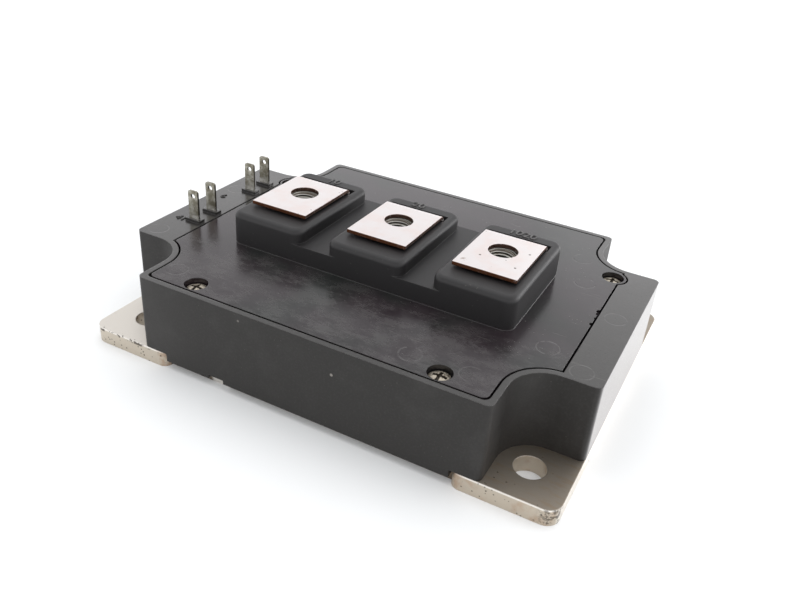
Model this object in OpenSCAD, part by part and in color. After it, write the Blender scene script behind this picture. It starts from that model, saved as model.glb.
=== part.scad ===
// Dual power semiconductor module: nickel-plated base with a moulded case and lid,
// three screw terminals on top, four signal tabs at one end, circuit inside.
// Origin: centre of the underside of the baseplate. +X along the length, +Z up.

/* [Baseplate] */
// Length of the baseplate and of the case
base_l = 110; // [104:1:120]
// Width of the baseplate and of the case
base_w = 80; // [76:1:90]
// Thickness of the baseplate
base_t = 3.8; // [3:0.1:6]
// Corner radius of the baseplate
base_r = 3; // [1:0.5:5]
// Distance between the mounting holes along the length
hole_dx = 93; // [90:1:96]
// Distance between the mounting holes across the width
hole_dy = 62; // [58:1:64]
// Diameter of the mounting holes
hole_d = 6.5; // [5:0.5:8]
// Length of the relief in each long edge
relief_l = 72; // [60:1:76]
// Depth of the relief in each long edge
relief_d = 2; // [1.5:0.1:2.5]
// Radius of the inner ends of the ears beside the relief
ear_r = 2; // [1:0.1:2.5]

/* [Case] */
// Height of the top of the case above the underside of the baseplate
case_top = 21.2; // [19:0.1:26]
// Length of the case along its long sides, between the bolt notches
side_l = 80; // [76:1:82]
// Width of the case at its ends, between the bolt notches
end_w = 48.4; // [44:0.2:50]
// Radius of the inner corner of each bolt notch
notch_r = 7.8; // [5:0.2:8]
// Radius of the upright outer edges
case_r = 1.3; // [0.5:0.1:3]
// Height of the skirt's lower edge above the underside of the baseplate
skirt_z = 2; // [1:0.1:2.8]
// Clearance between the skirt and the relief in the baseplate
skirt_gap = 0.3; // [0.1:0.1:0.6]
// Width of the pry slot in the front skirt
pry_w = 3.9; // [2:0.1:6]
// Depth of the pry slot
pry_d = 0.9; // [0.5:0.1:1.5]
// Place of the pry slot along the length
pry_x = -20.5; // [-30:0.5:30]
// Width of the sealing bead under the case
bead_w = 1; // [0.6:0.1:1.4]
// Height of the sealing bead
bead_h = 0.4; // [0.2:0.1:0.8]

/* [Lid] */
// Thickness of the lid
lid_t = 3; // [2.5:0.1:4]
// Distance from the side of the case to the middle of the lid groove
lid_inset = 1.5; // [1.3:0.1:2]
// Width of the groove between lid and case
lid_gap = 0.45; // [0.2:0.05:0.8]
// Width of the ledge that carries the lid
ledge_w = 1.7; // [1.2:0.1:2.2]
// Distance of the groove from the signal end of the case
lid_in0 = 10.3; // [9:0.1:12]
// Distance of the groove from the plain end of the case
lid_in1 = 7.9; // [6:0.1:9]

/* [Lid screws] */
// Distance of the front screws from the middle, along the length
front_screw_x = 28; // [24:1:32]
// Distance of the front screws in from the side of the case
front_screw_in = 4.4; // [4:0.1:6]
// Distance of each back screw in from the groove it stands by
back_screw_in = 1.7; // [1.5:0.1:2.5]
// Place of the back screws across the width
back_screw_y = 19.4; // [15:0.2:20]
// Radius of the lobe of the lid around a back screw
lobe_r = 3.2; // [3:0.1:3.6]
// Diameter of the recess for a screw head
recess_d = 5; // [4.8:0.1:5.4]
// Depth of the recess
recess_h = 2.1; // [1.8:0.1:2.3]
// Diameter of a screw head
head_d = 4.4; // [4:0.1:4.6]
// Height of a screw head
head_h = 1.5; // [0.8:0.1:1.6]
// Diameter of a screw shank
shank_d = 2.4; // [2:0.1:3]
// Length of a screw shank under the head
shank_l = 7; // [5:0.5:8]
// Clearance around the shank in the lid
shank_gap = 0.2; // [0.1:0.05:0.4]

/* [Terminal towers] */
// Distance between neighbouring terminals
pitch = 25; // [24:0.5:26]
// Width of a tower along the length
tower_w = 18.2; // [17.5:0.1:19]
// Front face of the towers
tower_y0 = -16; // [-18:0.5:-15]
// Back face of the towers
tower_y1 = 14.5; // [14:0.5:18]
// Height of the tower tops above the underside of the baseplate
tower_top = 28.7; // [28:0.1:29]
// Height of the bridge between the towers
bridge_top = 25.4; // [23:0.1:26]
// Radius of the upright edges of the towers
tower_r = 2.4; // [1.5:0.1:4]
// Radius of the upper edges of the towers
tower_fillet = 1.2; // [0.5:0.1:1.5]
// Wall of the towers, which are hollow underneath
tower_wall = 2.2; // [1.8:0.1:3]

/* [Screw terminals] */
// Height of the contact faces above the underside of the baseplate
term_top = 30; // [29.8:0.1:31]
// Width of a contact plate along the length
plate_w = 14.2; // [12:0.1:15]
// Front edge of the contact plates
plate_y0 = -10.6; // [-12:0.1:-9]
// Back end of the flat of the contact plates
plate_y1 = 7.2; // [7:0.1:8]
// Thickness of the copper strap
strap_t = 0.8; // [0.6:0.1:1]
// Inner radius of the bend over the back of the plate
bend_r = 0.8; // [0.6:0.1:1.2]
// Diameter of the bolt hole in the plate
bolt_d = 6.5; // [6.2:0.1:7]
// Distance of the foot's near edge from the middle of the plate
foot_x = 1.6; // [1:0.1:2]
// Length of the soldered foot
foot_l = 6; // [4:0.5:7]
// Clearance of the slot around the strap
slot_gap = 0.6; // [0.4:0.1:0.8]
// Depth of the slot behind the strap
slot_back = 2; // [1:0.1:2.4]
// Width of the nut across its flats
nut_af = 10; // [9:0.5:10]
// Height of the nut
nut_h = 5; // [4:0.1:5.5]
// Diameter of the nut's threaded hole
nut_bore = 5; // [4:0.1:6]
// Clearance around the nut in its pocket
nut_gap = 0.15; // [0.05:0.05:0.3]
// Depth of the bolt space below the contact face
bolt_depth = 13; // [12:0.5:14]

/* [Signal tabs] */
// Distance between the two tabs of a pair
tab_pitch = 6.2; // [5:0.1:7]
// Distance between the middles of the two pairs
pair_pitch = 21.6; // [20:0.1:22]
// Middle of the four tabs across the width
tab_mid_y = 1.3; // [0:0.1:2]
// Distance of the tabs from the signal end of the case
tab_in = 7.3; // [6.5:0.1:7.7]
// Width of a tab
tab_w = 2.8; // [2:0.1:3.2]
// Thickness of a tab
tab_t = 0.5; // [0.4:0.1:0.8]
// Height of the tab tips above the underside of the baseplate
tab_top = 28.9; // [27:0.1:30]
// Height of the moulded collar around each tab
collar_h = 0.7; // [0.4:0.1:1.2]
// Margin of the collar around the tab
collar_m = 0.7; // [0.4:0.1:0.9]
// Diameter of the eye near the tip
eye_d = 1.2; // [0.8:0.1:1.5]
// Height of the shelf that carries the inner ends of the tabs
shelf_z = 9.5; // [8:0.5:12]
// Reach of the shelf into the case
shelf_l = 4; // [3:0.5:5]

/* [Circuit] */
// Length of each ceramic plate along the module
dbc_l = 35.6; // [34:0.1:36]
// Distance of the ceramic plates from the side of the case
dbc_in = 9; // [8:0.5:12]
// Thickness of the ceramic
ceramic_t = 0.65; // [0.4:0.05:1]
// Thickness of the copper on both faces of the ceramic
copper_t = 0.3; // [0.2:0.05:0.5]
// Margin of bare ceramic around the copper
copper_m = 1; // [0.5:0.1:1.2]
// Gap between the two ceramic plates
dbc_gap = 1.2; // [1:0.1:2]
// Side of a transistor chip
igbt_s = 11; // [9:0.5:11]
// Side of a diode chip
diode_s = 9; // [7:0.5:9]
// Thickness of the chips
chip_t = 0.35; // [0.2:0.05:0.5]
// Radius of the aluminium bond wires
wire_r = 0.2; // [0.15:0.05:0.25]
// Height of the wire loops
loop_h = 2.6; // [1.5:0.1:3]
// Radius of the insulated signal leads
lead_r = 0.45; // [0.3:0.05:0.6]
// Radius of the bends of the signal leads
lead_bend = 1.5; // [1:0.1:2]
// Height of the silicone gel above the underside of the baseplate
gel_top = 11; // [10.5:0.1:11.5]

/* [Hidden] */
$fn = 64;
eps = 0.01;                 // overlap that lets cuts run through a face

// Levels
back_z = base_t + copper_t;                     // underside of the ceramic
track_z = back_z + ceramic_t;                   // underside of the tracks
chip_z = track_z + copper_t;                    // top of the tracks
lid_z = case_top - lid_t;                       // underside of the lid
lead_z = gel_top + lead_bend + 0.2;             // level stretch of the signal leads
strap_z = term_top - strap_t;                   // underside of the contact plates
head_z = case_top - recess_h;                   // seat of the screw heads
nut_play = 0.2;                                 // play between nut and contact plate
nut_z = strap_z - nut_play - nut_h;             // underside of the nuts, pocket floor
bolt_z = term_top - bolt_depth;                 // floor of the bolt space
boss_floor = 1.5;                               // floor under the bolt space
boss_wall = 1.8;                                // wall around nut and bolt space
roof_t = 2.2;                                   // roof of the hollow towers

// Plan of the case
lid_x0 = lid_in0 - base_l / 2;
lid_x1 = base_l / 2 - lid_in1;
notch_cx = side_l / 2 + notch_r;
notch_cy = end_w / 2 + notch_r;
cavity_inset = lid_inset + ledge_w;
cavity_x0 = lid_x0 + ledge_w;
cavity_x1 = lid_x1 - ledge_w;

// Screws: two in front, two in lobes at the back
front_screw_y = front_screw_in - base_w / 2;
far_screw_dx = 0.4;                             // fourth screw, set a little off its twin
far_screw_dy = 0.8;
screw_xy = [[-front_screw_x, front_screw_y], [front_screw_x, front_screw_y],
            [lid_x1 - back_screw_in, back_screw_y],
            [lid_x0 + back_screw_in + far_screw_dx, back_screw_y + far_screw_dy]];
boss_r = 3.1;                                   // radius of a screw boss in the case
boss_l = 9;                                     // length of a screw boss

// Terminals and towers
term_x = [-pitch, 0, pitch];
leg_y = plate_y1 + bend_r;                      // inner face of the upright leg
tower_d = tower_y1 - tower_y0;
slot_w = plate_w + slot_gap;
nut_r = nut_af / 2 / cos(30);
leg_wide_z = 20;                                // where the leg narrows to the foot

// Tabs
tab_x = tab_in - base_l / 2;
tab_y = [for (pair = [-1, 1], side = [-1, 1])
         tab_mid_y + pair * pair_pitch / 2 + side * tab_pitch / 2];
tab_arm_h = 2;                                  // height of the arm inside the wall
pad_l = 3;                                      // length of the tab's inner foot
pad_w = 2.4;                                    // width of the tab's inner foot
foot_off = 0.4;                                 // gap between wall and inner foot
shelf_m = 2.5;                                  // shelf beyond the outer tabs

// Circuit plan: each chip column follows the terminal it feeds
dbc_w = base_w - 2 * dbc_in;
dbc_x = [-dbc_gap / 2 - dbc_l, dbc_gap / 2];
column_off = 17;                                // chips beside their terminal
column_x = [for (i = [0, 1]) term_x[i] + column_off];
igbt_in = [9, 22];                              // transistors in from the front edge
diode_in = [16, 5.5];                           // diodes in from the back edge
igbt_y = [for (d = igbt_in) d - dbc_w / 2];
diode_y = [for (d = diode_in) dbc_w / 2 - d];
track_gap = 0.8;                                // gap between neighbouring tracks
gate_w = 1.8;                                   // width of a gate track
collector_m = 0.7;                              // collector copper beyond the chips
collector_x0 = [for (c = column_x) c - igbt_s / 2 - collector_m];
gate_x1 = [for (x = collector_x0) x - track_gap];
emitter_x1 = [for (x = gate_x1) x - gate_w - track_gap];

// Wires: pitch, landings in from the edges, and the loops that join the switches
wire_pitch = 2;
wire_land = 1.2;                                // emitter wires in from the track's edge
pad_in = 0.9;                                   // gate pad in from the chip's left edge
pad_top = 1.2;                                  // gate pad in from the chip's back edge
gate_loop_h = 1.2;
link_off = 1.5;                                 // first loop behind the transistors
link_y = [for (k = [0:3]) igbt_y[1] + igbt_s / 2 + link_off + k * wire_pitch / 2];
link_in = 3;                                    // landings in from the plates' edges
link_h = 1.6;
hollow_l = 3;                                   // gel hollow over the emitter landings
hollow_m = 0.4;                                 // gel hollow beyond chips and wires

// Leads: each runs along X, a little off the middle of its tab to clear the wires
lead_dy = [-0.7, 0, 0.7, 0.7];
lead_land = [4, 0.9];                           // landings in from the emitter's edge
lead_y = [for (i = [0:3]) tab_y[i] + lead_dy[i]];
lead_x0 = cavity_x0 + foot_off + pad_l / 2;
lead_x1 = [gate_x1[0] - gate_w / 2, dbc_x[0] + copper_m + lead_land[0],
           dbc_x[1] + copper_m + lead_land[1], gate_x1[1] - gate_w / 2];

// Rounded rectangle with sharp tangent joins
module rounded_rect(x0, y0, x1, y1, r) {
    translate([x0 + r, y0]) square([x1 - x0 - 2 * r, y1 - y0]);
    translate([x0, y0 + r]) square([x1 - x0, y1 - y0 - 2 * r]);
    for (x = [x0 + r, x1 - r], y = [y0 + r, y1 - r])
        translate([x, y]) circle(r);
}

// Cross-shaped plan of the case, moved inwards by an inset
module cross_plan(inset = 0) {
    half_l = base_l / 2 - inset;
    half_w = base_w / 2 - inset;
    band_l = side_l / 2 - inset;
    band_w = end_w / 2 - inset;
    rounded_rect(-half_l, -band_w, half_l, band_w, case_r);
    rounded_rect(-band_l, -half_w, band_l, half_w, case_r);
    for (sx = [-1, 1], sy = [-1, 1])
        mirror([sx < 0 ? 1 : 0, 0]) mirror([0, sy < 0 ? 1 : 0])
            difference() {
                translate([band_l - 1, band_w - 1])
                    square([notch_r + inset + 1, notch_r + inset + 1]);
                translate([notch_cx, notch_cy]) circle(notch_r + inset);
            }
}

// Plan of the lid; grow is half the groove for the pocket and minus half for the lid
module lid_plan(grow) {
    intersection() {
        cross_plan(lid_inset - grow);
        translate([lid_x0 - grow, -base_w / 2])
            square([lid_x1 - lid_x0 + 2 * grow, base_w]);
    }
    for (i = [2, 3])
        translate(screw_xy[i]) circle(lobe_r + grow);
}

// Plan of the space inside the case
module cavity_plan() {
    intersection() {
        cross_plan(cavity_inset);
        translate([cavity_x0, -base_w / 2])
            square([cavity_x1 - cavity_x0, base_w]);
    }
}

module baseplate() {
    color("silver") difference() {
        linear_extrude(base_t) difference() {
            rounded_rect(-base_l / 2, -base_w / 2, base_l / 2, base_w / 2, base_r);
            for (s = [-1, 1]) relief_plan(s);
            for (x = [-1, 1], y = [-1, 1])
                translate([x * hole_dx / 2, y * hole_dy / 2]) circle(d = hole_d);
        }
    }
}

// Relief in one long edge, running out in rounded corners
module relief_plan(side) {
    edge = side * base_w / 2;
    difference() {
        translate([-relief_l / 2, side > 0 ? edge - relief_d : edge - ear_r])
            square([relief_l, relief_d + ear_r]);
        for (s = [-1, 1])
            translate([s * relief_l / 2, edge - side * ear_r]) circle(ear_r);
    }
}

module case() {
    color([0.2, 0.2, 0.2]) difference() {
        union() {
            difference() {
                translate([0, 0, base_t])
                    linear_extrude(case_top - base_t) cross_plan();
                translate([0, 0, base_t - eps])
                    linear_extrude(case_top) cavity_plan();
            }
            for (s = [-1, 1]) skirt(s);
            for (p = screw_xy) screw_boss(p);
            tab_shelf();
            for (y = tab_y) tab_collar(y);
        }
        translate([0, 0, lid_z])
            linear_extrude(lid_t + eps) lid_plan(lid_gap / 2);
        for (p = screw_xy)
            translate([p[0], p[1], lid_z - boss_l - eps])
                cylinder(h = boss_l + 2 * eps, d = shank_d);
        for (y = tab_y) tab_blade(y, 0);
        bead_ring();
        translate([pry_x - pry_w / 2, -base_w / 2 - eps, skirt_z - eps])
            cube([pry_w, relief_d + 2 * eps, pry_d + eps]);
    }
}

// Lip of the case that hangs over the relief in the baseplate
module skirt(side) {
    lip = relief_d - skirt_gap;
    length = relief_l - 2 * ear_r - 2 * skirt_gap;
    translate([-length / 2, side > 0 ? base_w / 2 - lip : -base_w / 2, skirt_z])
        cube([length, lip, base_t - skirt_z + 1]);
}

module screw_boss(p) {
    intersection() {
        translate([p[0], p[1], lid_z - boss_l]) cylinder(h = boss_l, r = boss_r);
        translate([0, 0, base_t]) linear_extrude(case_top) cross_plan(0.5);
    }
}

module tab_shelf() {
    translate([cavity_x0 - 1, tab_y[0] - shelf_m, base_t])
        cube([shelf_l + 1, tab_y[3] - tab_y[0] + 2 * shelf_m, shelf_z - base_t]);
}

module tab_collar(y) {
    half = tab_w / 2 + collar_m;
    translate([tab_x - half, y - tab_t / 2 - collar_m, case_top - 1])
        cube([2 * half, tab_t + 2 * collar_m, collar_h + 1]);
}

// Seal between case and baseplate
module bead_ring() {
    translate([0, 0, base_t]) linear_extrude(bead_h) difference() {
        cross_plan(1);
        cross_plan(1 + bead_w);
    }
}

module case_seal() {
    color([0.75, 0.75, 0.72]) bead_ring();
}

// One tower: hollow block with rounded upright and upper edges
module tower(x) {
    x0 = x - tower_w / 2;
    x1 = x + tower_w / 2;
    f = tower_fillet;
    z = tower_top - f;
    translate([0, 0, lid_z]) linear_extrude(z - lid_z)
        rounded_rect(x0, tower_y0, x1, tower_y1, tower_r);
    translate([0, 0, z - eps]) linear_extrude(f + eps)
        rounded_rect(x0 + f, tower_y0 + f, x1 - f, tower_y1 - f, tower_r - f);
    for (cx = [x0 + tower_r, x1 - tower_r], cy = [tower_y0 + tower_r, tower_y1 - tower_r])
        translate([cx, cy, z]) rotate_extrude() intersection() {
            translate([tower_r - f, 0]) circle(f);
            square(tower_r);
        }
    for (cy = [tower_y0 + f, tower_y1 - f])
        translate([x0 + tower_r, cy, z]) rotate([0, 90, 0])
            cylinder(h = tower_w - 2 * tower_r, r = f);
    for (cx = [x0 + f, x1 - f])
        translate([cx, tower_y0 + tower_r, z]) rotate([-90, 0, 0])
            cylinder(h = tower_d - 2 * tower_r, r = f);
}

// Hollow under a tower, around the nut boss and the slot walls
module tower_hollow(x) {
    difference() {
        translate([x - tower_w / 2 + tower_wall, tower_y0 + tower_wall, lid_z - eps])
            cube([tower_w - 2 * tower_wall, tower_d - 2 * tower_wall,
                  tower_top - roof_t - lid_z + eps]);
        translate([x, 0, lid_z - 1]) cylinder(h = tower_top, r = nut_r + boss_wall);
    }
}

module bolt_boss(x) {
    bottom = bolt_z - boss_floor;
    translate([x, 0, bottom]) cylinder(h = lid_z - bottom + 1, r = nut_r + boss_wall);
}

// Space in the lid for one terminal: slot, nut pocket and bolt space
module terminal_space(x) {
    translate([x - slot_w / 2, leg_y - slot_gap / 2, lid_z - eps])
        cube([slot_w, strap_t + slot_gap / 2 + slot_back, tower_top]);
    translate([x, 0, nut_z])
        rotate([0, 0, 30]) cylinder(h = tower_top, r = nut_r + nut_gap, $fn = 6);
    translate([x, 0, bolt_z]) cylinder(h = tower_top, d = bolt_d);
}

module lid() {
    color([0.23, 0.23, 0.24]) difference() {
        union() {
            translate([0, 0, lid_z]) linear_extrude(lid_t) lid_plan(-lid_gap / 2);
            translate([0, 0, lid_z]) linear_extrude(bridge_top - lid_z)
                rounded_rect(-pitch - tower_w / 2, tower_y0, pitch + tower_w / 2,
                             tower_y1, tower_r);
            for (x = term_x) tower(x);
            for (x = term_x) bolt_boss(x);
        }
        for (x = term_x) tower_hollow(x);
        for (x = term_x) terminal_space(x);
        for (p = screw_xy) {
            translate([p[0], p[1], head_z]) cylinder(h = recess_h + eps, d = recess_d);
            translate([p[0], p[1], lid_z - eps])
                cylinder(h = lid_t, d = shank_d + 2 * shank_gap);
        }
        edge_chips();
    }
}

// Small knocks in the lid's edge at the plain end
module edge_chips() {
    edge = lid_x1 - lid_gap / 2;
    for (chip = [[2.6, 0.75], [1.4, 0.55], [-0.6, 0.4], [-3.2, 0.6]])
        translate([edge + 0.15, chip[0], case_top - 0.7])
            cylinder(h = 1, r = chip[1]);
}

module lid_screw(i) {
    p = screw_xy[i - 1];
    slot = 0.7;                                 // width of the cross slots
    color("gainsboro") translate([p[0], p[1], head_z]) {
        difference() {
            intersection() {
                cylinder(h = head_h, d = head_d);
                translate([0, 0, head_h - head_d]) sphere(r = head_d);
            }
            for (a = [0, 90])
                rotate([0, 0, a]) translate([-head_d / 3, -slot / 2, head_h - 0.6])
                    cube([head_d * 2 / 3, slot, 1]);
        }
        translate([0, 0, -shank_l]) cylinder(h = shank_l, d = shank_d);
    }
}

// Upright leg of a strap, stepped in to the soldered foot
module terminal_leg(x) {
    foot_w = plate_w / 2 - foot_x;
    translate([x - plate_w / 2, leg_y, leg_wide_z])
        cube([plate_w, strap_t, strap_z - bend_r - leg_wide_z]);
    translate([x + foot_x, leg_y, chip_z])
        cube([foot_w, strap_t, leg_wide_z - chip_z]);
    translate([x + foot_x, leg_y + strap_t - foot_l, chip_z])
        cube([foot_w, foot_l, strap_t]);
}

// Copper strap: contact plate, bend, upright leg and soldered foot
module main_terminal(i) {
    x = term_x[i - 1];
    outer = bend_r + strap_t;
    color([0.9, 0.87, 0.84]) difference() {
        union() {
            translate([x - plate_w / 2, plate_y0, strap_z])
                cube([plate_w, plate_y1 - plate_y0, strap_t]);
            translate([x - plate_w / 2, plate_y1, strap_z - bend_r])
                rotate([90, 0, 90]) linear_extrude(plate_w) intersection() {
                    difference() {
                        circle(outer);
                        circle(bend_r);
                    }
                    square(outer);
                }
            terminal_leg(x);
        }
        translate([x, 0, strap_z - eps]) cylinder(h = strap_t + 2 * eps, d = bolt_d);
    }
}

module terminal_nut(i) {
    color("silver") translate([term_x[i - 1], 0, nut_z]) difference() {
        rotate([0, 0, 30]) cylinder(h = nut_h, r = nut_r, $fn = 6);
        translate([0, 0, -eps]) cylinder(h = nut_h + 2 * eps, d = nut_bore);
        translate([0, 0, nut_h - 0.6]) cylinder(h = 1, d1 = nut_bore, d2 = nut_bore + 2);
    }
}

// Flat lead: blade above the case, arm through the wall, foot on the shelf
module tab_blade(y, eye) {
    tip = 0.6;                                  // corner cut at the tip
    translate([0, y - tab_t / 2, 0]) difference() {
        union() {
            translate([tab_x - tab_w / 2, 0, shelf_z])
                cube([tab_w, tab_t, tab_top - tip - shelf_z]);
            translate([tab_x - tab_w / 2 + tip, 0, shelf_z])
                cube([tab_w - 2 * tip, tab_t, tab_top - shelf_z]);
            for (s = [-1, 1])
                translate([tab_x + s * (tab_w / 2 - tip), 0, tab_top - tip])
                    rotate([-90, 0, 0]) cylinder(h = tab_t, r = tip);
            translate([tab_x - tab_w / 2, 0, shelf_z])
                cube([cavity_x0 + foot_off - tab_x + tab_w / 2, tab_t, tab_arm_h]);
        }
        if (eye > 0)
            translate([tab_x, -eps, tab_top - 1.4]) rotate([-90, 0, 0])
                cylinder(h = tab_t + 2 * eps, d = eye_d);
    }
    translate([cavity_x0 + foot_off, y - pad_w / 2, shelf_z]) cube([pad_l, pad_w, tab_t]);
}

module signal_tab(i) {
    color([0.62, 0.62, 0.55]) tab_blade(tab_y[i - 1], 1);
}

// Copper and ceramic under the chips, one set for each switch
module back_copper(i) {
    color("darkorange") translate([dbc_x[i - 1] + copper_m, copper_m - dbc_w / 2, base_t])
        cube([dbc_l - 2 * copper_m, dbc_w - 2 * copper_m, copper_t]);
}

module ceramic(i) {
    color("white") translate([dbc_x[i - 1], -dbc_w / 2, back_z])
        cube([dbc_l, dbc_w, ceramic_t]);
}

module track(x0, x1) {
    color("orange") translate([x0, copper_m - dbc_w / 2, track_z])
        cube([x1 - x0, dbc_w - 2 * copper_m, copper_t]);
}

module collector_copper(i) {
    track(collector_x0[i - 1], dbc_x[i - 1] + dbc_l - copper_m);
}

module gate_copper(i) {
    track(gate_x1[i - 1] - gate_w, gate_x1[i - 1]);
}

module emitter_copper(i) {
    track(dbc_x[i - 1] + copper_m, emitter_x1[i - 1]);
}

module chip(i, y, side) {
    color("dimgray") translate([column_x[i - 1] - side / 2, y - side / 2, chip_z])
        cube([side, side, chip_t]);
}

// Wire loop from the track at x0 to the chip at x1, an arc cut off at the track
module loop(x0, x1, y, h) {
    span = x1 - x0;
    arc_r = (span * span / 4 + h * h) / (2 * h);
    translate([(x0 + x1) / 2, y, chip_z + h - arc_r]) rotate([90, 0, 0])
        rotate_extrude() translate([arc_r, 0]) circle(wire_r);
}

module bond_wires(i) {
    c = column_x[i - 1];
    land = emitter_x1[i - 1] - wire_land;
    color("lightgray") difference() {
        intersection() {
            union() {
                for (y = igbt_y, k = [-1.5:1:0.5]) loop(land, c, y + k * wire_pitch, loop_h);
                for (y = diode_y, k = [-1:1:1]) loop(land, c, y + k * wire_pitch, loop_h);
                for (y = igbt_y)
                    loop(gate_x1[i - 1] - gate_w / 2, c - igbt_s / 2 + pad_in,
                         y + igbt_s / 2 - pad_top, gate_loop_h);
            }
            translate([land - wire_pitch, -dbc_w / 2, chip_z])
                cube([c - land + 2 * wire_pitch, dbc_w, loop_h + 1]);
        }
        for (y = igbt_y) chip(i, y, igbt_s);
        for (y = diode_y) chip(i, y, diode_s);
    }
}

// Loops that join the emitter track of one switch to the collector track of the other
module link_wires() {
    reach = 2 * link_in + dbc_gap + 2;
    color("lightgray") intersection() {
        for (y = link_y) loop(dbc_x[0] + dbc_l - link_in, dbc_x[1] + link_in, y, link_h);
        translate([-reach / 2, link_y[0] - 1, chip_z])
            cube([reach, link_y[3] - link_y[0] + 2, link_h + 1]);
    }
}

// Insulated lead up from x0 on the shelf, along a level stretch and down to x1
module lead(x0, x1, y) {
    r = lead_bend;
    level = lead_z - r;
    foot = shelf_z + tab_t;
    color("ivory") translate([0, y, 0]) {
        translate([x0, 0, foot]) cylinder(h = level - foot, r = lead_r);
        translate([x1, 0, chip_z]) cylinder(h = level - chip_z, r = lead_r);
        translate([x0 + r, 0, lead_z]) rotate([0, 90, 0])
            cylinder(h = x1 - x0 - 2 * r, r = lead_r);
        translate([x0 + r, 0, level]) rotate([90, 0, 0]) rotate([0, 0, 90])
            rotate_extrude(angle = 90) translate([r, 0]) circle(lead_r);
        translate([x1 - r, 0, level]) rotate([90, 0, 0])
            rotate_extrude(angle = 90) translate([r, 0]) circle(lead_r);
    }
}

module signal_lead(i) {
    lead(lead_x0, lead_x1[i - 1], lead_y[i - 1]);
}

// Gel that fills the lower part of the case, with plain hollows around chips and wires
module silicone_gel() {
    color([0.85, 0.9, 0.95, 0.4]) difference() {
        translate([0, 0, base_t]) linear_extrude(gel_top - base_t) cavity_plan();
        tab_shelf();
        for (p = screw_xy) screw_boss(p);
        for (i = [0, 1]) {
            translate([dbc_x[i], -dbc_w / 2, base_t - eps])
                cube([dbc_l, dbc_w, chip_z - base_t + eps]);
            translate([emitter_x1[i] - hollow_l, -dbc_w / 2, chip_z - eps])
                cube([column_x[i] + igbt_s / 2 + hollow_m - emitter_x1[i] + hollow_l,
                      dbc_w, loop_h + 1]);
        }
        translate([-link_in - dbc_gap - hollow_m, link_y[0] - 2 * wire_pitch, base_t])
            cube([2 * (link_in + dbc_gap + hollow_m), link_y[3] - link_y[0] + 4 * wire_pitch,
                  chip_z - base_t + loop_h + 1]);
        for (i = [1:3]) terminal_leg(term_x[i - 1]);
        for (i = [1:4]) {
            translate([lead_x0, lead_y[i - 1], shelf_z]) cylinder(h = gel_top, r = lead_r);
            translate([lead_x1[i - 1], lead_y[i - 1], chip_z])
                cylinder(h = gel_top, r = lead_r);
            tab_blade(tab_y[i - 1], 0);
        }
    }
}

baseplate();
case();
case_seal();
lid();
silicone_gel();
link_wires();
for (i = [1:4]) {
    lid_screw(i);
    signal_tab(i);
    signal_lead(i);
    chip(ceil(i / 2), igbt_y[(i + 1) % 2], igbt_s);
    chip(ceil(i / 2), diode_y[(i + 1) % 2], diode_s);
}
for (i = [1:3]) {
    main_terminal(i);
    terminal_nut(i);
}
for (i = [1, 2]) {
    back_copper(i);
    ceramic(i);
    collector_copper(i);
    gate_copper(i);
    emitter_copper(i);
    bond_wires(i);
}
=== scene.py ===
import math

import bpy
from mathutils import Matrix, Vector


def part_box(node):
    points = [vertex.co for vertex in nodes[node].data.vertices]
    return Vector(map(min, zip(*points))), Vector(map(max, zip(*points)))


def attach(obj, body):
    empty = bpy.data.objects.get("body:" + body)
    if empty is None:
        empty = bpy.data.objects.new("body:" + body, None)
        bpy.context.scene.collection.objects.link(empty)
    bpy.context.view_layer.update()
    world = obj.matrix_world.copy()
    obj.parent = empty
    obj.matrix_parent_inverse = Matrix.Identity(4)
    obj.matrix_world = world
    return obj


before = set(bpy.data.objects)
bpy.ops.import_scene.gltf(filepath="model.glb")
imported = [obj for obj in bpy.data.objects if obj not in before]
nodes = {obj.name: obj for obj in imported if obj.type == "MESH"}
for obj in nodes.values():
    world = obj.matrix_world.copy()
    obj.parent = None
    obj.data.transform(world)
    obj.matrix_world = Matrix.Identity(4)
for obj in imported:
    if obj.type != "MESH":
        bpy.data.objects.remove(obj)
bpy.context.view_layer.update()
mm = 0.001
perMetre = 1000
print("frame loaded:", len(nodes), "nodes")


def paint(red, green, blue):
    # a colour as a screen shows it, 0 to 255, turned into linear light
    def linear(value):
        value = value / 255
        return value / 12.92 if value < 0.04045 else ((value + 0.055) / 1.055) ** 2.4
    return (linear(red), linear(green), linear(blue), 1.0)


# marks that all finishes share
markLook = {
    "scratchStretch": 0.035,              # width over length
    "scratchStep": (0.72, 0.75),          # parts of the noise that become scratches
    "scratchField": 26,                   # size of the fields they lie in, over their own
    "scratchFieldStep": (0.52, 0.6),
    "ringCore": 0.3,                      # full part of a ring's line
    "edgeStep": (0.985, 0.86),            # cosine between the flat and the rounded normal
    "edgeSamples": 6,
}


class Wire:
    # an output socket; arithmetic on it adds Math nodes to the same tree
    def __init__(self, finish, socket):
        self.finish = finish
        self.socket = socket

    def calc(self, operation, first, second=0.0):
        return self.finish.add("ShaderNodeMath", {"operation": operation},
                               {0: first, 1: second})

    def __add__(self, other):
        return self.calc("ADD", self, other)

    def __sub__(self, other):
        return self.calc("SUBTRACT", self, other)

    def __rsub__(self, other):
        return self.calc("SUBTRACT", other, self)

    def __mul__(self, other):
        return self.calc("MULTIPLY", self, other)

    def __abs__(self):
        return self.calc("ABSOLUTE", self)

    __radd__ = __add__
    __rmul__ = __mul__


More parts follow.
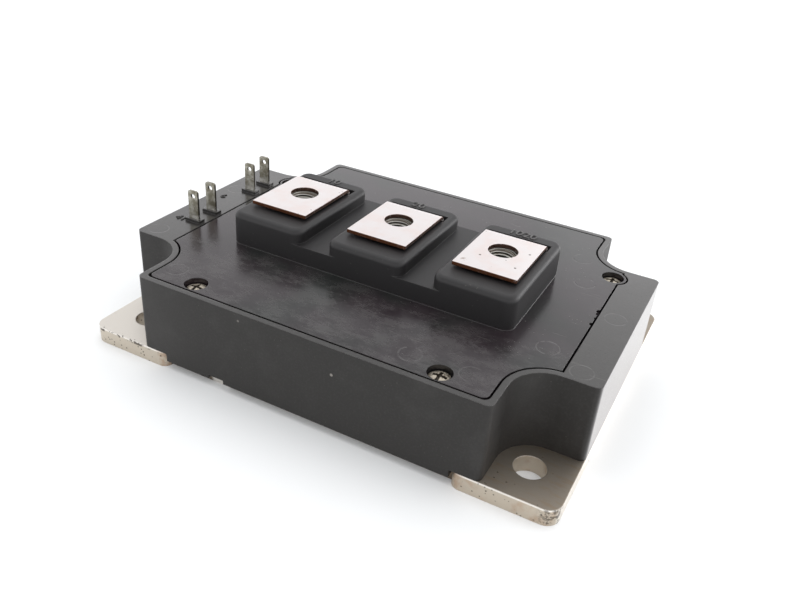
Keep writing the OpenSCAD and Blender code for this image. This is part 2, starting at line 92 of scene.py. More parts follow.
class Finish:
    # one procedural material: place is the point on the part in metres, x y z the same in mm
    def __init__(self, name, tree=None):
        if tree is None:
            self.material = bpy.data.materials.new(name)
            self.material.use_nodes = True
            tree = self.material.node_tree
        self.tree = tree
        self.shader = tree.nodes.get("Principled BSDF")
        coords = tree.nodes.new("ShaderNodeTexCoord")
        self.place = Wire(self, coords.outputs["Object"])
        self.facing = Wire(self, coords.outputs["Normal"])
        self.x, self.y, self.z = [axis * perMetre for axis in self.split(self.place)]

    def plug(self, socket, value):
        if isinstance(value, Wire):
            self.tree.links.new(value.socket, socket)
        else:
            socket.default_value = value

    def add(self, kind, settings=None, values=None, out=0):
        node = self.tree.nodes.new(kind)
        for name, value in (settings or {}).items():
            setattr(node, name, value)
        for key, value in (values or {}).items():
            self.plug(node.inputs[key], value)
        return Wire(self, node.outputs[out])

    def split(self, vector):
        node = self.tree.nodes.new("ShaderNodeSeparateXYZ")
        self.plug(node.inputs[0], vector)
        return [Wire(self, output) for output in node.outputs]

    def step(self, value, low, high):
        # 0 below low, 1 above high, smooth between; low may be the larger
        return self.add("ShaderNodeMapRange", {"interpolation_type": "SMOOTHSTEP"},
                        {0: value, 1: low, 2: high, 3: 0.0, 4: 1.0})

    def blend(self, first, second, factor):
        return self.add("ShaderNodeMix", {"data_type": "RGBA"},
                        {0: factor, 6: first, 7: second}, 2)

    def most(self, first, second):
        return first.calc("MAXIMUM", first, second)

    def moved(self, offset=(0, 0, 0), turn=(0, 0, 0), stretch=(1, 1, 1)):
        return self.add("ShaderNodeMapping", {"vector_type": "POINT"},
                        {"Vector": self.place, "Location": offset, "Rotation": turn,
                         "Scale": stretch})

    def noise(self, size, detail=3.0, rough=0.55, where=None):
        # size is the grain of the pattern in mm
        return self.add("ShaderNodeTexNoise", {},
                        {"Vector": where or self.place, "Scale": perMetre / size,
                         "Detail": detail, "Roughness": rough})

    def patches(self, size, low, high, detail=3.0, rough=0.55, where=None):
        # soft-edged patches of noise, fewer as low and high rise
        return self.step(self.noise(size, detail, rough, where), low, high)

    def specks(self, size, low, high):
        # small round spots scattered about size mm apart, low and high in parts of size
        near = self.add("ShaderNodeTexVoronoi", {"feature": "F1"},
                        {"Vector": self.place, "Scale": perMetre / size, "Randomness": 1.0},
                        "Distance")
        return self.step(near, high, low)

    def scratches(self, turn, size, share=0.0, offset=(0, 0, 0)):
        # long thin marks along one direction of the top faces, more with a larger share
        thin = markLook["scratchStretch"]
        lines = self.noise(size, 1.0, 0.4, self.moved(offset, (0, 0, turn), (thin, 1, thin)))
        low, high = [level - share for level in markLook["scratchStep"]]
        fields = self.patches(size * markLook["scratchField"], *markLook["scratchFieldStep"],
                              1.0, 0.4, self.moved(offset))
        return self.step(lines, low, high) * fields

    def distance(self, x, y):
        # distance in mm from an upright line at x, y
        flat = self.add("ShaderNodeCombineXYZ", {}, {0: self.x, 1: self.y, 2: 0.0})
        return self.add("ShaderNodeVectorMath", {"operation": "DISTANCE"},
                        {0: flat, 1: (x, y, 0.0)}, "Value")

    def spot(self, x, y, radius, soft):
        # round spot seen from above, radius and soft edge in mm
        return self.step(self.distance(x, y), radius + soft, radius - soft)

    def rings(self, centres, radius, width):
        # thin circles left by ejector pins
        total = None
        for x, y in centres:
            off = abs(self.distance(x, y) - radius)
            ring = self.step(off, width, width * markLook["ringCore"])
            total = ring if total is None else self.most(total, ring)
        return total

    def upright(self, low, high):
        # 1 on side faces, 0 on level ones
        return self.step(abs(self.split(self.facing)[2]), low, high)

    def softNormal(self, radius):
        # normal of edges rounded by radius mm
        return self.add("ShaderNodeBevel", {"samples": markLook["edgeSamples"]},
                        {"Radius": radius * mm})

    def edges(self, normal):
        # mask of the edges that the soft normal rounds
        straight = self.tree.nodes.new("ShaderNodeNewGeometry").outputs["Normal"]
        same = self.add("ShaderNodeVectorMath", {"operation": "DOT_PRODUCT"},
                        {0: normal, 1: Wire(self, straight)}, "Value")
        return self.step(same, *markLook["edgeStep"])

    def bump(self, height, depth, normal=None):
        # depth in mm is how far a height of 1 stands out
        values = {"Strength": 1.0, "Distance": depth * mm, "Height": height}
        if normal is not None:
            values["Normal"] = normal
        return self.add("ShaderNodeBump", {}, values)

    def set(self, **values):
        # socket names without blanks, such as BaseColor
        for socket in self.shader.inputs:
            key = socket.name.replace(" ", "")
            if key in values:
                self.plug(socket, values.pop(key))
        if values:
            raise KeyError(str(list(values)))
        return self.material


def dress(names, material):
    for name in names:
        for slot in nodes[name].material_slots:
            slot.material = material


def numbered(stem, count):
    return [stem + "_" + str(index + 1) for index in range(count)]


def middleOf(name):
    # x, y of the middle and z of the top of a piece, in mm
    low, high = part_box(name)
    return [(low[0] + high[0]) / 2 / mm, (low[1] + high[1]) / 2 / mm, high[2] / mm]


# baseplate
plateLook = {
    "bright": paint(216, 211, 203),
    "dull": paint(162, 153, 141),
    "tan": paint(160, 138, 112),
    "copper": paint(178, 148, 122),
    "sheared": paint(203, 193, 178),
    # near white for painted light: highlights on the rim and end face, and the pale pry slot
    "lip": paint(244, 240, 234),
    # dark for chips, stains and dirt specks, and for the painted shade below the skirt
    "speck": paint(62, 54, 44),
    "roughness": 0.34,
    "edge": 0.3,                          # radius of the edges in mm
    "aged": (2, 26),                      # x where the dull half begins, and is full
    "lipHeight": (3.3, 3.5),              # painted highlight along the upper rim of the long sides
    "sideEdge": (38.5, 39.0),
    "endFace": (54.4, 54.9),
    "chipHeight": (2.9, 3.2),             # dark chips under the rim at the signal end
    "chipEnd": (-34, -42),
    "darkCorner": (54, -39, 2.2, 1.4),    # x, y, radius, softness
    "prySlot": (-20.5, -38, 2.4, 0.5),
    "underSkirt": [(37.5, 35), (37.5, 38.4)],    # x and y of the copper that it hides
    "skirtShade": [(37, 36), (38.6, 38.2)],      # x and y of the painted shade below it
    "streaks": 0.4,                       # strengths of the marks, 0 to 1
    "shearedSides": 0.9,
    "bareSides": (0.4, 0.05),             # on the dull half, and everywhere
    "rubbedEdges": 0.6,
    "lipLight": 0.9,
    "endLight": 0.8,
    "chips": 0.85,
    "cornerStain": 0.7,
    "skirtCopper": 0.6,
    "shade": 0.7,
    "dirt": 0.85,
    "relief": 0.012,
}


def platingFinish():
    look = plateLook
    f = Finish("worn_nickel_plating")
    wave = f.noise(7, 4, 0.6) * 18
    aged = f.step(f.x + wave, *look["aged"])
    colour = f.blend(look["bright"], look["dull"], aged)
    streak = f.patches(1.3, 0.5, 0.7, 4, 0.65, f.moved((3, 1, 0), (0, 0, 0.2), (0.25, 1, 1)))
    colour = f.blend(colour, look["tan"], streak * aged * look["streaks"])
    upright = f.upright(0.7, 0.3)
    colour = f.blend(colour, look["sheared"], upright * look["shearedSides"])
    onAged, everywhere = look["bareSides"]
    bare = upright * f.patches(2.6, 0.48, 0.7, 4) * (aged * onAged + everywhere)
    colour = f.blend(colour, look["copper"], bare)
    normal = f.softNormal(look["edge"])
    rubbed = f.edges(normal) * f.patches(0.9, 0.3, 0.5)
    colour = f.blend(colour, look["bright"], rubbed * look["rubbedEdges"])
    # painted highlight: the upper rim of the long sides and the plain end face painted near
    # white
    lip = f.step(f.z, *look["lipHeight"]) * f.step(abs(f.y), *look["sideEdge"])
    lip = f.most(lip, f.step(f.x, *look["endFace"]) * look["endLight"])
    colour = f.blend(colour, look["lip"], lip * upright * look["lipLight"])
    chipped = upright * f.step(f.z, *look["chipHeight"]) * f.patches(1.5, 0.5, 0.56, 4, 0.6)
    chipped = chipped * f.step(f.x, *look["chipEnd"])
    colour = f.blend(colour, look["speck"], chipped * look["chips"])
    corner = f.spot(*look["darkCorner"]) * f.patches(0.9, 0.46, 0.56, 4, 0.7) * upright
    colour = f.blend(colour, look["speck"], corner * look["cornerStain"])
    spanX, spanY = look["underSkirt"]
    hidden = f.step(abs(f.x), *spanX) * f.step(abs(f.y), *spanY) * f.patches(1.4, 0.35, 0.55)
    colour = f.blend(colour, look["copper"], hidden * look["skirtCopper"])
    # painted shade: the sides below the skirt painted dark
    spanX, spanY = look["skirtShade"]
    shaded = f.step(abs(f.y), *spanY) * upright * f.step(abs(f.x), *spanX)
    colour = f.blend(colour, look["speck"], shaded * look["shade"])
    # painted light: the walls of the pry slot painted pale, as where the bright floor shows
    # through
    slot = f.spot(*look["prySlot"]) * upright
    colour = f.blend(colour, look["lip"], slot * look["lipLight"])
    dirt = f.specks(1.5, 0.10, 0.17) * f.patches(5, 0.5, 0.6, 2)
    pocks = f.specks(0.8, 0.16, 0.28) * f.step(abs(f.y), 38.9, 39.7)
    dirt = f.most(dirt, pocks * f.patches(2.2, 0.46, 0.6, 2))
    colour = f.blend(colour, look["speck"], dirt * look["dirt"])
    grain = f.noise(0.35, 4, 0.7)
    rough = look["roughness"] + aged * 0.12 + grain * 0.14 + dirt * 0.3
    height = grain * 0.5 + f.noise(2.4, 3) * 0.8 - dirt
    return f.set(BaseColor=colour, Metallic=1.0 - dirt * 0.6, Roughness=rough,
                 Normal=f.bump(height, look["relief"], normal))


dress(["baseplate"], platingFinish())
print("baseplate done")


# case and lid
plasticLook = {
    "case": paint(35, 33, 31),
    "lid": paint(32, 34, 33),
    # painted shade: the towers are the same moulding as the lid, painted darker because their
    # sides lie in shade
    "tower": paint(18, 16, 18),
    "lidWarm": paint(41, 34, 38),
    "worn": paint(96, 94, 93),
    "dust": paint(138, 134, 128),
    "caseRoughness": 0.5,
    "caseShine": 1.45,
    "topCoat": 0.6,
    "coatRoughness": 0.24,
    "lidRoughness": 0.17,
    "lidShine": 1.59,
    "caseEdge": 0.35,                     # radius of the edges in mm
    "lidEdge": 0.21,
    "caseTop": (21.1, 21.18),             # heights and places where a mask begins and is full
    "endFace": (54.4, 54.8),
    "frontFace": (-39.5, -39.9),
    "rubbedEnd": (-20, -52),
    "deckUnder": (21.3, 21.24),
    "deckOver": (21.0, 21.15),
    "towerFoot": (21.3, 21.6),
    "towerEdge": (22, 23),
    "filmFront": (-10, -22),
    "pinRadius": 2.3,
    "pinLine": 0.22,
    "mottle": 0.1,                        # strengths of the marks, 0 to 1
    "fineMottle": 0.06,
    "caseEdges": 0.35,
    "lidEdges": 0.25,
    "scratches": 0.12,
    "rings": 0.3,
    "caseDust": 0.3,
    "lidDust": 0.25,
    "rubbedFront": 0.18,
    "film": 0.2,
    "endCoat": 0.4,
    "coatSmooth": 0.26,                   # how much smoother the coated faces are
    "caseRelief": 0.012,
    "lidRelief": 0.01,
    "ringDepth": 1.8,                     # both depths over that of the grain
    "scratchDepth": 0.3,
}
lidPins = [(-18.6, 33.2), (17.5, 34.4), (36.9, 24.3), (40.7, 13.1), (42.2, -16.6),
           (33.1, -33.0), (-35.3, -33.0), (20.8, -33.4)]
casePins = [(50.7, 1.6), (50.2, -20.8), (-51.7, -20.5), (-51.5, 8.4)]
frontChips = [(7.8, 15.1, 0.31, 1.0), (-14.0, 19.4, 0.26, 0.5)]  # x, z, radius, strength


def caseFinish():
    look = plasticLook
    f = Finish("matt_case_moulding")
    mottle = f.patches(9, 0.45, 0.8, 4, 0.6) * look["mottle"]
    mottle = mottle + f.patches(0.5, 0.45, 0.7, 2) * look["fineMottle"]
    colour = f.blend(look["case"], look["worn"], mottle)
    normal = f.softNormal(look["caseEdge"])
    rubbed = f.edges(normal) * f.patches(1.1, 0.4, 0.62)
    colour = f.blend(colour, look["worn"], rubbed * look["caseEdges"])
    top = f.step(f.z, *look["caseTop"])
    ring = f.rings(casePins, look["pinRadius"], look["pinLine"])
    ring = ring * top * f.patches(2.5, 0.38, 0.6)
    scratch = f.most(f.scratches(0.5, 0.5), f.scratches(1.9, 0.45, 0.0, (1, 2, 0))) * top
    dust = f.specks(1.1, 0.05, 0.1) * f.patches(6, 0.52, 0.62)
    pale = f.most(scratch * look["scratches"], dust * look["caseDust"])
    colour = f.blend(colour, look["dust"], pale)
    colour = f.blend(colour, look["worn"], ring * look["rings"])
    front = f.step(f.y, *look["frontFace"])
    onFront = f.add("ShaderNodeCombineXYZ", {}, {0: f.x, 1: 0.0, 2: f.z})
    for x, z, radius, strength in frontChips:
        away = f.add("ShaderNodeVectorMath", {"operation": "DISTANCE"},
                     {0: onFront, 1: (x, 0.0, z)}, "Value")
        chip = f.step(away, radius + 0.1, radius - 0.1) * front
        colour = f.blend(colour, look["dust"], chip * strength)
    # the front face lighter towards its left end
    rubbed = f.step(f.x, *look["rubbedEnd"]) * front
    colour = f.blend(colour, look["worn"], rubbed * look["rubbedFront"])
    grain = f.noise(0.28, 4, 0.7)
    end = f.step(f.x, *look["endFace"])
    rough = look["caseRoughness"] + grain * 0.1 - f.most(top, end) * look["coatSmooth"]
    height = grain * 0.6 + f.noise(1.4, 3, 0.6) * 0.8
    height = height - ring * look["ringDepth"] - scratch * look["scratchDepth"]
    return f.set(BaseColor=colour, Roughness=rough + dust * 0.2, IOR=look["caseShine"],
                 CoatWeight=f.most(top, end * look["endCoat"]) * look["topCoat"],
                 CoatRoughness=look["coatRoughness"],
                 Normal=f.bump(height, look["caseRelief"], normal))


def lidFinish():
    look = plasticLook
    f = Finish("semi_gloss_lid_moulding")
    deck = f.step(f.z, *look["deckUnder"]) * f.step(f.z, *look["deckOver"])
    tower = f.step(f.z, *look["towerFoot"])
    colour = f.blend(look["lid"], look["lidWarm"], f.patches(20, 0.35, 0.6, 2))
    # painted shade: the towers painted darker than the rest of the lid
    colour = f.blend(colour, look["tower"], tower)
    cloud = f.patches(14, 0.45, 0.75, 5, 0.62) * deck
    colour = f.blend(colour, look["worn"], cloud * look["mottle"])
    normal = f.softNormal(look["lidEdge"])
    share = tower * f.step(f.z, *look["towerEdge"]) * 0.6 + 0.08
    rubbed = f.edges(normal) * f.patches(1.1, 0.42, 0.62) * share
    colour = f.blend(colour, look["worn"], rubbed * look["lidEdges"])
    ring = f.rings(lidPins, look["pinRadius"], look["pinLine"])
    ring = ring * deck * f.patches(2.5, 0.36, 0.6)
    scratch = f.scratches(0.35, 0.3)
    scratch = f.most(scratch, f.scratches(1.2, 0.25, 0.01, (2, 0, 1)))
    scratch = f.most(scratch, f.scratches(2.6, 0.3, 0.0, (0, 3, 2))) * deck
    dust = f.specks(1.2, 0.06, 0.12) * f.patches(7, 0.46, 0.6)
    smear = f.patches(3.4, 0.4, 0.66, 7, 0.75, f.moved((5, 2, 0), (0, 0, 0.5), (0.6, 1, 1)))
    film = f.step(f.y, *look["filmFront"]) * smear * deck
    colour = f.blend(colour, look["worn"], film * look["film"])
    pale = f.most(scratch * look["scratches"], dust * look["lidDust"])
    colour = f.blend(colour, look["dust"], pale)
    colour = f.blend(colour, look["worn"], ring * look["rings"])
    grain = f.noise(0.3, 4, 0.7)
    rough = look["lidRoughness"] + grain * 0.06 + film * 0.14 + dust * 0.2 + tower * 0.32
    height = grain * 0.3 + f.noise(3.5, 3) * 0.8
    height = height - ring * look["ringDepth"] - scratch * look["scratchDepth"]
    return f.set(BaseColor=colour, Roughness=rough, IOR=look["lidShine"],
                 Normal=f.bump(height, look["lidRelief"], normal))


sealLook = {"fresh": paint(168, 166, 156), "aged": paint(132, 128, 116), "roughness": 0.5}


def sealFinish():
    f = Finish("cured_sealing_bead")
    colour = f.blend(sealLook["fresh"], sealLook["aged"], f.noise(1.5))
    return f.set(BaseColor=colour, Roughness=sealLook["roughness"] + f.noise(0.5) * 0.2,
                 Normal=f.bump(f.noise(0.7), 0.03))


lidMaterial = lidFinish()
caseMaterial = caseFinish()
dress(["lid"], lidMaterial)
dress(["case"], caseMaterial)
dress(["case_seal"], sealFinish())
print("case and lid done")


# moulded numbers behind the contact plates and beside the tabs
numberLook = {
    "height": 2.4,
    "sizeForHeight": 1.4,                 # font size over height of a digit
    "caseShare": 0.85,                    # height of the numbers on the case, over the others
    "proud": 0.14,
    "bevel": 0.03,
    "towerTop": 28.7,
    "towerY": 12.55,
    "tower": [("10", -24.6), ("20", -1.2), ("1020", 25.0)],
    "collar": 0.7,                        # height of the tabs' collars over the case top
    "case": [("41", -51.2, -13.4), ("6", -51.3, 2.6)],
    "roughness": 0.4,
}


def numberFinish():
    f = Finish("rubbed_number")
    # the numbers take the towers' painted shade as their base colour
    colour = f.blend(plasticLook["tower"], plasticLook["worn"], f.patches(0.6, 0.3, 0.6) * 0.7)
    return f.set(BaseColor=colour, Roughness=numberLook["roughness"] + f.noise(0.3) * 0.1,
                 IOR=plasticLook["lidShine"], Normal=f.bump(f.noise(0.3), 0.006))


def mouldedNumber(text, place, height, material):
    data = bpy.data.curves.new("number_" + text, "FONT")
    data.body = text
    data.size = height * numberLook["sizeForHeight"] * mm
    data.align_x = "CENTER"
    data.align_y = "CENTER"
    data.extrude = numberLook["proud"] * mm
    data.bevel_depth = numberLook["bevel"] * mm
    data.bevel_resolution = 1
    number = bpy.data.objects.new("moulded_number_" + text, data)
    number.location = [value * mm for value in place]
    bpy.context.collection.objects.link(number)
    data.materials.append(material)
    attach(number, "root")


numberMaterial = numberFinish()
for text, x in numberLook["tower"]:
    mouldedNumber(text, (x, numberLook["towerY"], numberLook["towerTop"]),
                  numberLook["height"], numberMaterial)
caseTop = middleOf("case")[2] - numberLook["collar"]
for text, x, y in numberLook["case"]:
    mouldedNumber(text, (x, y, caseTop), numberLook["height"] * numberLook["caseShare"],
                  caseMaterial)
print("numbers done")


# terminals, nuts and screws
strapLook = {
    "plating": paint(229, 224, 223),
    "blush": paint(228, 213, 208),
    "cut": paint(96, 58, 36),
    "stain": paint(132, 104, 78),
    "pit": paint(58, 44, 34),
    "roughness": 0.24,
    "edge": 0.18,                         # radius of the edges in mm
    "cutFace": (-10.52, -10.58),          # y of the sheared front edge
    "underside": (28.9, 28.2),            # z below which the strap is painted dark: bare copper, and painted shade in the slot under the plates
    "plateSide": (29.1, 29.15),
    "pits": [(29.9, -5.9), (21.6, -4.6), (30.4, 1.6)],
    "pitSize": (0.24, 0.08),              # radius, softness
    "stained": (19.6, -8.4, 0.6, 0.4),    # x, y, radius, softness
    "blushShare": 0.55,                   # strengths of the marks, 0 to 1
    "cutShare": 0.9,
    "undersideShare": 0.75,
    "stainShare": 0.8,
    "pitShare": 0.9,
    "pitDepth": 4,                        # both depths over that of the grain
    "scratchDepth": 0.8,
    "relief": 0.007,
}


def strapFinish():
    look = strapLook
    f = Finish("plated_copper_strap")
    blush = f.patches(5, 0.42, 0.7) * look["blushShare"]
    colour = f.blend(look["plating"], look["blush"], blush)
    sheared = f.step(f.y, *look["cutFace"]) * f.patches(0.8, 0.25, 0.45, 4, 0.7)
    colour = f.blend(colour, look["cut"], sheared * look["cutShare"])
    # bare copper and painted shade on the strap below the plates
    copperAndShade = f.step(f.z, *look["underside"])
    colour = f.blend(colour, look["cut"], copperAndShade * look["undersideShare"])
    # sides of the plates: sheared copper, with painted shade on the side edges
    wall = f.upright(0.6, 0.3) * f.step(f.z, *look["plateSide"]) * f.patches(0.9, 0.2, 0.45, 4)
    colour = f.blend(colour, look["cut"], wall * look["cutShare"])
    stain = f.spot(*look["stained"]) * f.patches(0.8, 0.4, 0.6, 4)
    colour = f.blend(colour, look["stain"], stain * look["stainShare"])
    pits = f.specks(2.6, 0.035, 0.06)
    for x, y in look["pits"]:
        pits = f.most(pits, f.spot(x, y, *look["pitSize"]))
    colour = f.blend(colour, look["pit"], pits * look["pitShare"])
    brushed = f.noise(0.22, 2, 0.5, f.moved((0, 0, 0), (0, 0, 0.05), (1, 0.05, 1)))
    marks = f.scratches(0.8, 0.35, 0.02, (4, 1, 0))
    rough = look["roughness"] + brushed * 0.1 + f.noise(3) * 0.1 + pits * 0.3 + sheared * 0.2
    height = brushed * 0.3 + f.noise(4, 2) * 1.4
    height = height - pits * look["pitDepth"] - marks * look["scratchDepth"]
    return f.set(BaseColor=colour, Metallic=1.0 - pits * 0.5, Roughness=rough,
                 Normal=f.bump(height, look["relief"], f.softNormal(look["edge"])))


nutLook = {
    "zinc": paint(196, 194, 188),
    "groove": paint(118, 112, 102),
    "stain": paint(140, 126, 104),
    "turnsPerMm": 1.25,
    "bore": (3.2, 2.9),                   # radius where the thread begins, and is full
    "threadShade": (0.2, -0.6),           # heights of the wave where a groove begins, is full
    "threadDepth": 20,                    # over the depth of the grain
    "grooveShare": 0.8,
    "stainShare": 0.4,
    "roughness": 0.26,
    "edge": 0.2,
    "relief": 0.01,
}


def nutFinish(index):
    # the thread shows as a fine helix in the bore, with painted shade in its grooves
    look = nutLook
    f = Finish("zinc_nut_" + str(index + 1))
    midX = middleOf("terminal_nut_" + str(index + 1))[0]
    around = f.add("ShaderNodeMath", {"operation": "ARCTAN2"}, {0: f.y, 1: f.x - midX})
    turns = f.z * look["turnsPerMm"] - around * (0.5 / math.pi)
    wave = f.add("ShaderNodeMath", {"operation": "SINE"}, {0: turns * (2 * math.pi)})
    inBore = f.step(f.distance(midX, 0.0), *look["bore"])
    groove = inBore * f.step(wave, *look["threadShade"])
    colour = f.blend(look["zinc"], look["groove"], groove * look["grooveShare"])
    stain = f.patches(1.2, 0.55, 0.7, 4)
    colour = f.blend(colour, look["stain"], stain * look["stainShare"])
    height = wave * inBore * look["threadDepth"] + f.noise(0.5)
    return f.set(BaseColor=colour, Metallic=1.0,
                 Roughness=look["roughness"] + f.noise(0.6) * 0.2,
                 Normal=f.bump(height, look["relief"], f.softNormal(look["edge"])))


screwLook = {
    "zinc": paint(188, 180, 166),
    "stain": paint(84, 71, 55),
    "cross": paint(34, 27, 22),
    "crossSize": (1.6, 0.1),              # radius, softness
    "crossDepth": (0.3, 0.5),             # below the top of the head
    "crossShare": 0.9,
    "roughness": 0.42,
    "edge": 0.15,
    "relief": 0.01,
}


def screwFinish():
    look = screwLook
    f = Finish("zinc_screw")
    colour = f.blend(look["zinc"], look["stain"], f.patches(1, 0.46, 0.66, 4))
    for name in numbered("lid_screw", 4):
        x, y, headTop = middleOf(name)
        low, high = [headTop - depth for depth in look["crossDepth"]]
        # painted shade: the bottom of the cross recess painted near black
        cross = f.spot(x, y, *look["crossSize"]) * f.step(f.z, low, high)
        colour = f.blend(colour, look["cross"], cross * look["crossShare"])
    return f.set(BaseColor=colour, Metallic=1.0,
                 Roughness=look["roughness"] + f.noise(0.7) * 0.25,
                 Normal=f.bump(f.noise(0.4), look["relief"], f.softNormal(look["edge"])))


dress(numbered("main_terminal", 3), strapFinish())
for index, name in enumerate(numbered("terminal_nut", 3)):
    dress([name], nutFinish(index))
dress(numbered("lid_screw", 4), screwFinish())
print("terminals, nuts and screws done")


# signal tabs
tabLook = {
    # bright tin for the painted highlight on the feet
    "bright": paint(232, 230, 224),
    "tin": paint(196, 194, 184),
    "tarnish": paint(132, 127, 112),
    "brown": paint(84, 62, 44),
    "edgeColour": paint(46, 40, 32),
    "roughness": 0.4,
    "edge": 0.14,
    "foot": (23.2, 22.4),                 # z where the painted highlight on the foot begins, and is full
    "rubbedEdges": 0.8,                   # strengths of the marks, 0 to 1
    "spots": 0.85,
    "narrowSides": 0.85,
    "footShare": 0.8,
    "relief": 0.012,
}


def tabFinish():
    look = tabLook
    f = Finish("tarnished_tab")
    colour = f.blend(look["tin"], look["tarnish"], f.patches(2.2, 0.32, 0.62, 4, 0.65))
    normal = f.softNormal(look["edge"])
    rubbed = f.edges(normal) * f.patches(0.7, 0.35, 0.55)
    colour = f.blend(colour, look["edgeColour"], rubbed * look["rubbedEdges"])
    spots = f.specks(0.9, 0.12, 0.22) * f.patches(1.7, 0.48, 0.58)
    colour = f.blend(colour, look["brown"], spots * look["spots"])
    # painted shade: the narrow sides of the tabs painted dark
    narrow = f.step(abs(f.split(f.facing)[0]), 0.6, 0.9)
    colour = f.blend(colour, look["edgeColour"], narrow * look["narrowSides"])
    # painted highlight: the lower part of the tabs painted brighter
    foot = f.step(f.z, *look["foot"]) * f.patches(1.1, 0.35, 0.6)
    colour = f.blend(colour, look["bright"], foot * look["footShare"])
    grain = f.noise(0.3, 3, 0.6)
    return f.set(BaseColor=colour, Metallic=1.0 - spots * 0.6,
                 Roughness=look["roughness"] + grain * 0.15 + spots * 0.25,
                 Normal=f.bump(grain - spots * 0.6, look["relief"], normal))


dress(numbered("signal_tab", 4), tabFinish())
print("signal tabs done")


# circuit inside
circuitLook = {
    "copper": paint(206, 140, 104),
    "copperDull": paint(170, 104, 74),
    "aluminium": paint(214, 214, 216),
    "aluminiumDull": paint(184, 184, 188),
    "ceramic": paint(236, 235, 229),
    "ceramicDull": paint(214, 212, 204),
    "pad": paint(176, 178, 182),
    "runner": paint(58, 60, 74),
    "sleeve": paint(226, 220, 200),
    "sleeveDull": paint(190, 182, 156),
    "gel": paint(206, 220, 228),
    "gelDull": paint(188, 204, 210),
    "gelAlpha": 0.35,
    "runnersPerMm": 2.4,
    "weave": 700.0,                       # larger is finer
}


def plainMetal(name, bright, dull, rough, grainSize):
    f = Finish(name)
    colour = f.blend(bright, dull, f.patches(grainSize * 8, 0.35, 0.7, 4))
    return f.set(BaseColor=colour, Metallic=1.0, Roughness=f.noise(grainSize) * 0.2 + rough,
                 Normal=f.bump(f.noise(grainSize), 0.01))


def ceramicFinish():
    f = Finish("ground_alumina")
    colour = f.blend(circuitLook["ceramic"], circuitLook["ceramicDull"], f.noise(2, 4))
    return f.set(BaseColor=colour, Roughness=0.42 + f.noise(0.5) * 0.2,
                 Normal=f.bump(f.noise(0.25), 0.006))


def chipFinish():
    # metallised pads divided by thin dark gate runners
    f = Finish("metallised_silicon")
    wave = f.add("ShaderNodeMath", {"operation": "SINE"}, {0: f.x * circuitLook["runnersPerMm"]})
    runner = f.step(abs(wave), 0.08, 0.02)
    colour = f.blend(circuitLook["pad"], circuitLook["runner"], runner)
    return f.set(BaseColor=colour, Metallic=0.8, Roughness=0.3 + f.noise(0.6) * 0.15,
                 Normal=f.bump(runner * -1.0, 0.01))


def sleeveFinish():
    f = Finish("woven_lead_sleeve")
    weave = f.add("ShaderNodeTexWave", {"wave_type": "BANDS", "bands_direction": "DIAGONAL"},
                  {"Vector": f.place, "Scale": circuitLook["weave"], "Distortion": 1.0,
                   "Detail": 1.0}, 1)
    colour = f.blend(circuitLook["sleeve"], circuitLook["sleeveDull"], weave)
    return f.set(BaseColor=colour, Roughness=0.5 + weave * 0.15, Normal=f.bump(weave, 0.02))


def gelFinish():
    f = Finish("clear_silicone_gel")
    colour = f.blend(circuitLook["gel"], circuitLook["gelDull"], f.noise(8, 3))
    return f.set(BaseColor=colour, Alpha=circuitLook["gelAlpha"],
                 Roughness=0.08 + f.noise(5) * 0.08, Normal=f.bump(f.noise(6, 2), 0.05))


copperNames = numbered("back_copper", 2) + numbered("collector_copper", 2)
copperNames += numbered("emitter_copper", 2) + numbered("gate_copper", 2)
dress(copperNames, plainMetal("etched_copper", circuitLook["copper"],
                              circuitLook["copperDull"], 0.3, 0.6))
dress(numbered("ceramic", 2), ceramicFinish())
dress(numbered("igbt_chip", 4) + numbered("diode_chip", 4), chipFinish())
wireNames = numbered("bond_wires", 2) + ["link_wires"]
dress(wireNames, plainMetal("drawn_aluminium", circuitLook["aluminium"],
                            circuitLook["aluminiumDull"], 0.28, 0.2))
dress(numbered("signal_lead", 4), sleeveFinish())
dress(["silicone_gel"], gelFinish())
print("inner circuit done")


# floor, light and camera
stageLook = {
    "floor": (0.86, 0.87, 0.88, 1.0),
    "floorSize": 6.0,                     # in metres
    "floorGlow": 1.0,
    "glow": (0.95, 0.98, 1.0, 1),
    "nearGlow": 0.1,
    "farGlow": 0.45,
    "farFrom": (250, 900),                # mm from the middle where it begins, and is full
    "poolColour": (1.0, 0.97, 0.97, 1),
    "poolX": [(52, 58), (160, 90)],       # in mm: where the pool begins and ends
    "poolY": [(-26, -10), (140, 90)],
    "worldLight": 0.84,
    "worldSeen": 1.0,
    "lowSky": (1.38, 1.37, 1.39, 1),      # what glossy faces see near the horizon, and above
    "highSky": (0.54, 0.54, 0.55, 1),
    "skyStep": (0.425, 0.52),
}
softboxes = [  # name, place, target, width, depth, watts, in metres
    ("overhead", (-0.1, 0.15, 0.8), (0, 0, 0), 1.4, 1.2, 4.3),
    ("side_fill", (0.6, 0.2, 0.35), (0, 0, 0), 0.5, 0.4, 0.7),
    ("low_side", (0.36, 0.42, 0.07), (0.055, 0, 0.01), 0.4, 0.12, 0.6),
    ("back_card", (-0.03, 0.6, 0.36), (0.045, 0, 0.02), 0.16, 0.18, 0.036),
]
cameraLook = {  # place in mm, and its three directions
    "place": (71.09, -145.91, 105.83),
    "right": (0.88203, 0.46563, 0.07220),
    "up": (-0.29385, 0.42380, 0.85677),
    "ahead": (-0.36834, 0.77691, -0.51063),
    "lens": 36,
    "film": 36,
    "nearest": 0.01,                      # in metres
}


def rays(finish, *kinds):
    # masks of the kinds of ray, such as Camera or Glossy
    paths = finish.tree.nodes.new("ShaderNodeLightPath")
    return [Wire(finish, paths.outputs["Is " + kind + " Ray"]) for kind in kinds]


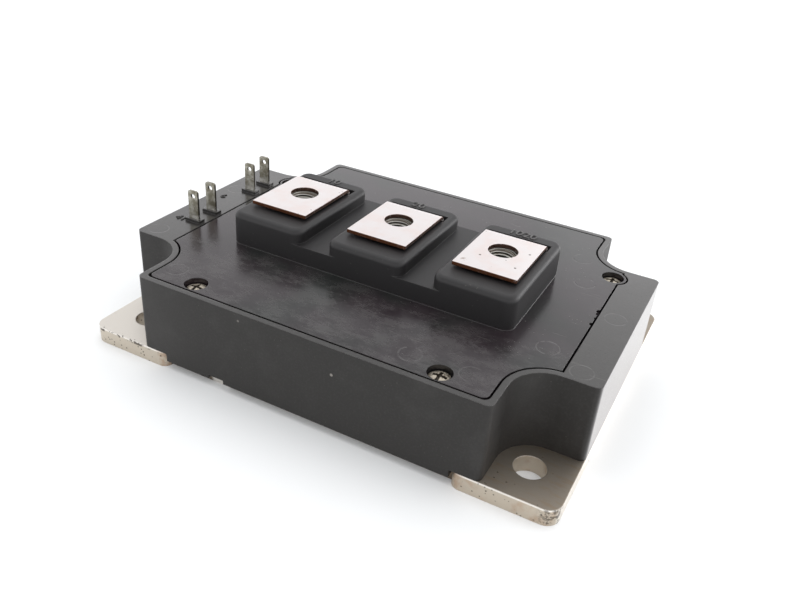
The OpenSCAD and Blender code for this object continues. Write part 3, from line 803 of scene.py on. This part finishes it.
def stageFloor():
    look = stageLook
    bpy.ops.mesh.primitive_plane_add(size=look["floorSize"], location=(0, 0, 0))
    floor = bpy.context.object
    floor.name = "stage_floor"
    f = Finish("pale_floor")
    seen, shine = rays(f, "Camera", "Glossy")
    # glossy rays see a brighter pool of floor beside the plain end, as from a window
    pool = shine
    for low, high in look["poolX"]:
        pool = pool * f.step(f.x, low, high)
    for low, high in look["poolY"]:
        pool = pool * f.step(f.y, low, high)
    far = f.step(f.distance(0.0, 0.0), *look["farFrom"])
    strength = f.most(seen, shine) * look["nearGlow"] + seen * far * look["farGlow"]
    glow = f.blend((0, 0, 0, 1), look["glow"], strength)
    glow = f.blend(glow, look["poolColour"], pool)
    material = f.set(BaseColor=look["floor"], Roughness=0.9, SpecularIORLevel=0.0,
                     EmissionColor=glow, EmissionStrength=look["floorGlow"])
    floor.data.materials.append(material)


def stageWorld():
    look = stageLook
    world = bpy.data.worlds.new("studio")
    bpy.context.scene.world = world
    world.use_nodes = True
    tree = world.node_tree
    tree.nodes.clear()
    w = Finish("studio", tree)
    seen, shine = rays(w, "Camera", "Glossy")
    lit = w.add("ShaderNodeBackground", {}, {"Color": (1, 1, 1, 1),
                                             "Strength": look["worldLight"]})
    sky = w.split(Wire(w, tree.nodes.new("ShaderNodeTexCoord").outputs["Generated"]))[2]
    tone = w.blend(look["lowSky"], look["highSky"], w.step(sky, *look["skyStep"]))
    tone = w.blend((1, 1, 1, 1), tone, shine)
    shown = w.add("ShaderNodeBackground", {}, {"Color": tone, "Strength": look["worldSeen"]})
    mixed = w.add("ShaderNodeMixShader", {}, {0: w.most(seen, shine), 1: lit, 2: shown})
    w.plug(tree.nodes.new("ShaderNodeOutputWorld").inputs[0], mixed)


def softbox(name, place, target, width, depth, watts):
    data = bpy.data.lights.new(name, "AREA")
    data.shape = "RECTANGLE"
    data.size = width
    data.size_y = depth
    data.energy = watts
    lamp = bpy.data.objects.new(name, data)
    lamp.location = place
    aim = Vector(target) - Vector(place)
    lamp.rotation_euler = aim.to_track_quat("-Z", "Y").to_euler()
    bpy.context.collection.objects.link(lamp)


def viewCamera():
    look = cameraLook
    data = bpy.data.cameras.new("view")
    data.lens = look["lens"]
    data.sensor_width = look["film"]
    data.clip_start = look["nearest"]
    camera = bpy.data.objects.new("view", data)
    right, up, ahead = [Vector(look[key]).normalized() for key in ("right", "up", "ahead")]
    turn = Matrix((right, up, -ahead)).transposed().to_4x4()
    camera.matrix_world = Matrix.Translation(Vector(look["place"]) * mm) @ turn
    bpy.context.collection.objects.link(camera)
    bpy.context.scene.camera = camera


stageFloor()
stageWorld()
for box in softboxes:
    softbox(*box)
viewCamera()
bpy.context.scene.view_settings.view_transform = "Standard"
print("stage done")
